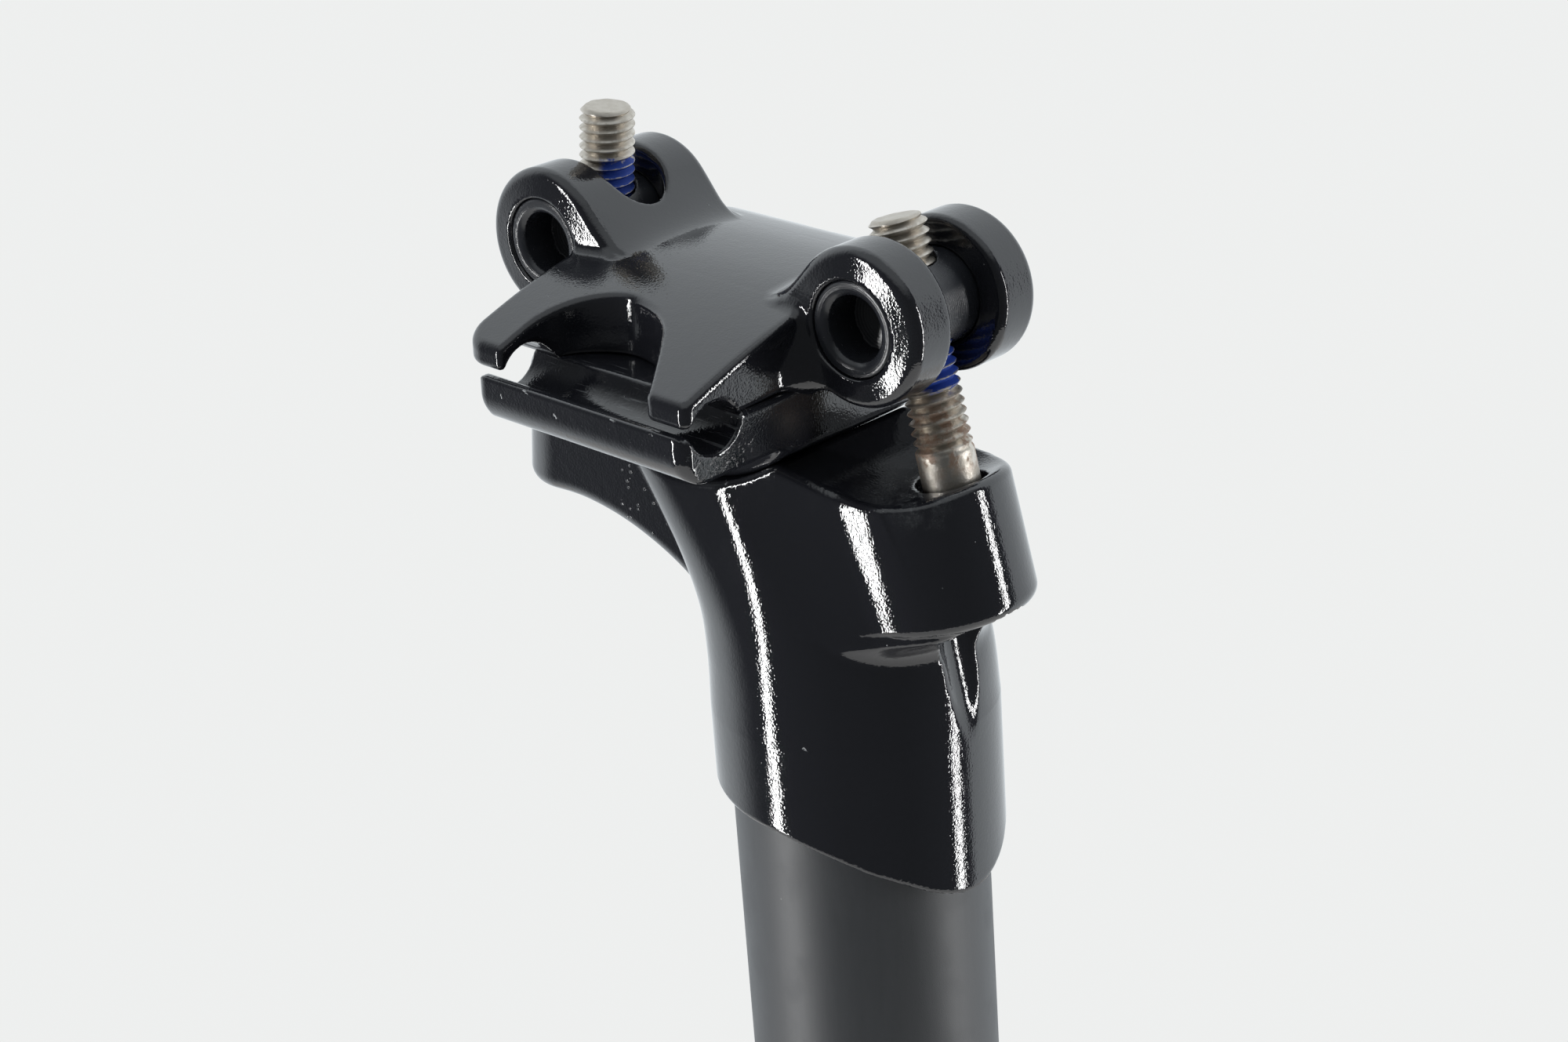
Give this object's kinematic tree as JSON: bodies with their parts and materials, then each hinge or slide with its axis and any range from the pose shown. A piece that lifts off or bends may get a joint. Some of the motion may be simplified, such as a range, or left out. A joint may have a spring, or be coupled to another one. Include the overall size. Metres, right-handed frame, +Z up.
{
  "type": "bicycle seatpost",
  "caption": "Straight round seatpost with a bonded set-back head and a rocking saddle-rail clamp held by leaning bolts in barrel nuts.",
  "frame": {"origin": "centre of the tube's open lower end, where the post goes into a frame", "axes": "+Z up along the tube, +X towards the saddle's nose, +Y to the rider's left"},
  "size_m": [0.0656, 0.0532, 0.3661],
  "materials": {
    "tube": "matte dark grey composite",
    "bond": "dull cured adhesive",
    "paint": "gloss black paint",
    "nut": "satin black",
    "steel": "satin plated steel"
  },
  "bodies": {
    "post": {"tube": "tube", "bond": "bond", "head": "paint"},
    "clamp": {"lower_cradle": "paint", "upper_clamp": "paint"},
    "front_nut": {"front_nut": "nut"},
    "rear_nut": {"rear_nut": "nut"},
    "front_bolt": {"front_bolt": "steel", "front_washer": "steel"},
    "rear_bolt": {"rear_bolt": "steel", "rear_washer": "steel"}
  },
  "joints": [
    {"name": "tilt", "type": "hinge", "parent": "post", "child": "clamp", "pos_m": [-0.01, 0, 0.35159], "axis": [0, 1, 0], "range_deg": [-5, 5]},
    {"name": "front_nut_turn", "type": "hinge", "parent": "clamp", "child": "front_nut", "pos_m": [0.01116, 0, 0.35029], "axis": [0, 1, 0], "range_deg": [-6.6, 6.6]},
    {"name": "front_bolt_travel", "type": "slide", "parent": "front_nut", "child": "front_bolt", "axis": [-0.1994, 0, 0.9799], "range_m": [-0.002, 0.002]},
    {"name": "rear_nut_turn", "type": "hinge", "parent": "clamp", "child": "rear_nut", "pos_m": [-0.03116, 0, 0.35288], "axis": [0, 1, 0], "range_deg": [-6, 6]},
    {"name": "rear_bolt_travel", "type": "slide", "parent": "rear_nut", "child": "rear_bolt", "axis": [0.1357, 0, 0.9907], "range_m": [-0.0021, 0.0021]}
  ],
  "couplings": [
    {"joint": "front_nut_turn", "follows": "tilt", "ratio": -1.1784},
    {"joint": "front_bolt_travel", "follows": "tilt", "m_per_rad": 0.02045},
    {"joint": "rear_nut_turn", "follows": "tilt", "ratio": -1.0611},
    {"joint": "rear_bolt_travel", "follows": "tilt", "m_per_rad": -0.021119}
  ]
}
